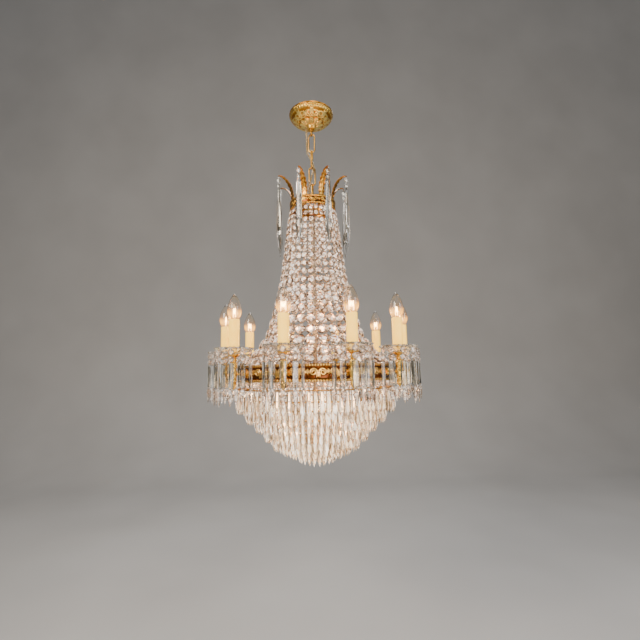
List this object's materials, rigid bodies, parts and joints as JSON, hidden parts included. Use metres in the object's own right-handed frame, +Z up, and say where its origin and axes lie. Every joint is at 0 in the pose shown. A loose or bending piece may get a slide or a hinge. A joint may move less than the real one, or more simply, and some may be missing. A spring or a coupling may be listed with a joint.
{
  "type": "crystal chandelier",
  "caption": "Gilt basket chandelier on a chain: canopy, crown with plumes and long drops, strung crystal tent, candle lights with prism strings, and a stepped prism basket.",
  "frame": {"origin": "middle of the upper face of the ceiling strap, where it meets the ceiling, midway between its two screws", "axes": "+Z up into the ceiling, the object hangs towards -Z; -Y is the pictured front; +X is to the viewer's right, along the strap"},
  "size_m": [0.5968, 0.5738, 1.0337],
  "materials": {
    "gilt_brass": "polished, lacquered",
    "zinc_steel": "zinc plated",
    "lead_crystal": "cut and polished",
    "basket_crystal": "cut and polished",
    "ball_crystal": "cut and polished",
    "pressed_glass": "moulded, fire polished",
    "bulb_glass": "clear blown glass",
    "ivory_sleeve": "ivory card-effect plastic",
    "holder_plastic": "moulded",
    "block_nylon": "moulded",
    "clear_flex": "clear PVC over twisted cores"
  },
  "bodies": {
    "ceiling_mount": {"ceiling_strap": "zinc_steel", "threaded_rod": "zinc_steel", "lock_nuts": "zinc_steel", "canopy": "gilt_brass", "loop_nut": "gilt_brass", "terminal_block": "block_nylon", "cable_ceiling": "clear_flex"},
    "link_1": {"chain_link_1": "gilt_brass", "cable_link_1": "clear_flex"},
    "link_2": {"chain_link_2": "gilt_brass", "cable_link_2": "clear_flex"},
    "link_3": {"chain_link_3": "gilt_brass", "cable_link_3": "clear_flex"},
    "link_4": {"chain_link_4": "gilt_brass", "cable_link_4": "clear_flex"},
    "chandelier": {"cable_crown": "clear_flex", "crown_hook": "gilt_brass", "crown_spider": "gilt_brass", "crown_band": "gilt_brass", "plume_arms": "gilt_brass", "centre_tube": "gilt_brass", "octagons_small": "lead_crystal", "octagons_medium": "lead_crystal", "octagons_large": "lead_crystal", "crystal_clips": "gilt_brass", "main_band": "gilt_brass", "main_spider": "gilt_brass", "ball_row": "ball_crystal", "tier_hoops": "gilt_brass", "basket_ribs": "gilt_brass", "prisms_outer": "basket_crystal", "prisms_middle": "basket_crystal", "prisms_inner": "basket_crystal", "bottom_plate": "gilt_brass", "candle_arms": "gilt_brass", "candle_stems": "gilt_brass", "bobeches": "pressed_glass", "lamp_holders": "holder_plastic", "candle_sleeves": "ivory_sleeve", "pendant_octagons": "lead_crystal", "pendant_baguettes": "lead_crystal", "pendant_drops": "lead_crystal"},
    "drop_1": {"crown_drop_1": "lead_crystal"},
    "drop_2": {"crown_drop_2": "lead_crystal"},
    "drop_3": {"crown_drop_3": "lead_crystal"},
    "drop_4": {"crown_drop_4": "lead_crystal"},
    "drop_5": {"crown_drop_5": "lead_crystal"},
    "drop_6": {"crown_drop_6": "lead_crystal"},
    "drop_7": {"crown_drop_7": "lead_crystal"},
    "drop_8": {"crown_drop_8": "lead_crystal"},
    "bulb_1": {"candle_bulb_1": "bulb_glass"},
    "bulb_2": {"candle_bulb_2": "bulb_glass"},
    "bulb_3": {"candle_bulb_3": "bulb_glass"},
    "bulb_4": {"candle_bulb_4": "bulb_glass"},
    "bulb_5": {"candle_bulb_5": "bulb_glass"},
    "bulb_6": {"candle_bulb_6": "bulb_glass"},
    "bulb_7": {"candle_bulb_7": "bulb_glass"},
    "bulb_8": {"candle_bulb_8": "bulb_glass"},
    "bulb_9": {"candle_bulb_9": "bulb_glass"},
    "bulb_10": {"candle_bulb_10": "bulb_glass"}
  },
  "joints": [
    {"name": "chain_swing_1", "type": "hinge", "parent": "ceiling_mount", "child": "link_1", "pos_m": [0, 0, -0.069], "axis": [0.2079, 0.9781, 0], "range_deg": [-8, 8]},
    {"name": "chain_swing_2", "type": "hinge", "parent": "link_1", "child": "link_2", "pos_m": [0, 0, -0.1224], "axis": [0.9781, -0.2079, 0], "range_deg": [-8, 8]},
    {"name": "chain_swing_3", "type": "hinge", "parent": "link_2", "child": "link_3", "pos_m": [0, 0, -0.1757], "axis": [0.2079, 0.9781, 0], "range_deg": [-8, 8]},
    {"name": "chain_swing_4", "type": "hinge", "parent": "link_3", "child": "link_4", "pos_m": [0, 0, -0.229], "axis": [0.9781, -0.2079, 0], "range_deg": [-8, 8]},
    {"name": "chain_swing_5", "type": "hinge", "parent": "link_4", "child": "chandelier", "pos_m": [0, 0, -0.2823], "axis": [0.2079, 0.9781, 0], "range_deg": [-8, 8]},
    {"name": "crown_drop_swing_1", "type": "hinge", "parent": "chandelier", "child": "drop_1", "pos_m": [0.04056, -0.09793, -0.2216], "axis": [-0.9239, -0.3827, 0], "range_deg": [-3, 25]},
    {"name": "crown_drop_swing_2", "type": "hinge", "parent": "chandelier", "child": "drop_2", "pos_m": [0.09793, -0.04056, -0.2216], "axis": [-0.3827, -0.9239, 0], "range_deg": [-3, 25]},
    {"name": "crown_drop_swing_3", "type": "hinge", "parent": "chandelier", "child": "drop_3", "pos_m": [0.09793, 0.04056, -0.2216], "axis": [0.3827, -0.9239, 0], "range_deg": [-3, 25]},
    {"name": "crown_drop_swing_4", "type": "hinge", "parent": "chandelier", "child": "drop_4", "pos_m": [0.04056, 0.09793, -0.2216], "axis": [0.9239, -0.3827, 0], "range_deg": [-3, 25]},
    {"name": "crown_drop_swing_5", "type": "hinge", "parent": "chandelier", "child": "drop_5", "pos_m": [-0.04056, 0.09793, -0.2216], "axis": [0.9239, 0.3827, 0], "range_deg": [-3, 25]},
    {"name": "crown_drop_swing_6", "type": "hinge", "parent": "chandelier", "child": "drop_6", "pos_m": [-0.09793, 0.04056, -0.2216], "axis": [0.3827, 0.9239, 0], "range_deg": [-3, 25]},
    {"name": "crown_drop_swing_7", "type": "hinge", "parent": "chandelier", "child": "drop_7", "pos_m": [-0.09793, -0.04056, -0.2216], "axis": [-0.3827, 0.9239, 0], "range_deg": [-3, 25]},
    {"name": "crown_drop_swing_8", "type": "hinge", "parent": "chandelier", "child": "drop_8", "pos_m": [-0.04056, -0.09793, -0.2216], "axis": [-0.9239, 0.3827, 0], "range_deg": [-3, 25]},
    {"name": "bulb_screw_1", "type": "hinge", "parent": "chandelier", "child": "bulb_1", "pos_m": [0.07725, -0.23776, -0.6858], "axis": [0, 0, 1], "continuous": true},
    {"name": "bulb_screw_2", "type": "hinge", "parent": "chandelier", "child": "bulb_2", "pos_m": [0.20225, -0.14695, -0.6858], "axis": [0, 0, 1], "continuous": true},
    {"name": "bulb_screw_3", "type": "hinge", "parent": "chandelier", "child": "bulb_3", "pos_m": [0.25, 0, -0.6858], "axis": [0, 0, 1], "continuous": true},
    {"name": "bulb_screw_4", "type": "hinge", "parent": "chandelier", "child": "bulb_4", "pos_m": [0.20225, 0.14695, -0.6858], "axis": [0, 0, 1], "continuous": true},
    {"name": "bulb_screw_5", "type": "hinge", "parent": "chandelier", "child": "bulb_5", "pos_m": [0.07725, 0.23776, -0.6858], "axis": [0, 0, 1], "continuous": true},
    {"name": "bulb_screw_6", "type": "hinge", "parent": "chandelier", "child": "bulb_6", "pos_m": [-0.07725, 0.23776, -0.6858], "axis": [0, 0, 1], "continuous": true},
    {"name": "bulb_screw_7", "type": "hinge", "parent": "chandelier", "child": "bulb_7", "pos_m": [-0.20225, 0.14695, -0.6858], "axis": [0, 0, 1], "continuous": true},
    {"name": "bulb_screw_8", "type": "hinge", "parent": "chandelier", "child": "bulb_8", "pos_m": [-0.25, 0, -0.6858], "axis": [0, 0, 1], "continuous": true},
    {"name": "bulb_screw_9", "type": "hinge", "parent": "chandelier", "child": "bulb_9", "pos_m": [-0.20225, -0.14695, -0.6858], "axis": [0, 0, 1], "continuous": true},
    {"name": "bulb_screw_10", "type": "hinge", "parent": "chandelier", "child": "bulb_10", "pos_m": [-0.07725, -0.23776, -0.6858], "axis": [0, 0, 1], "continuous": true}
  ]
}
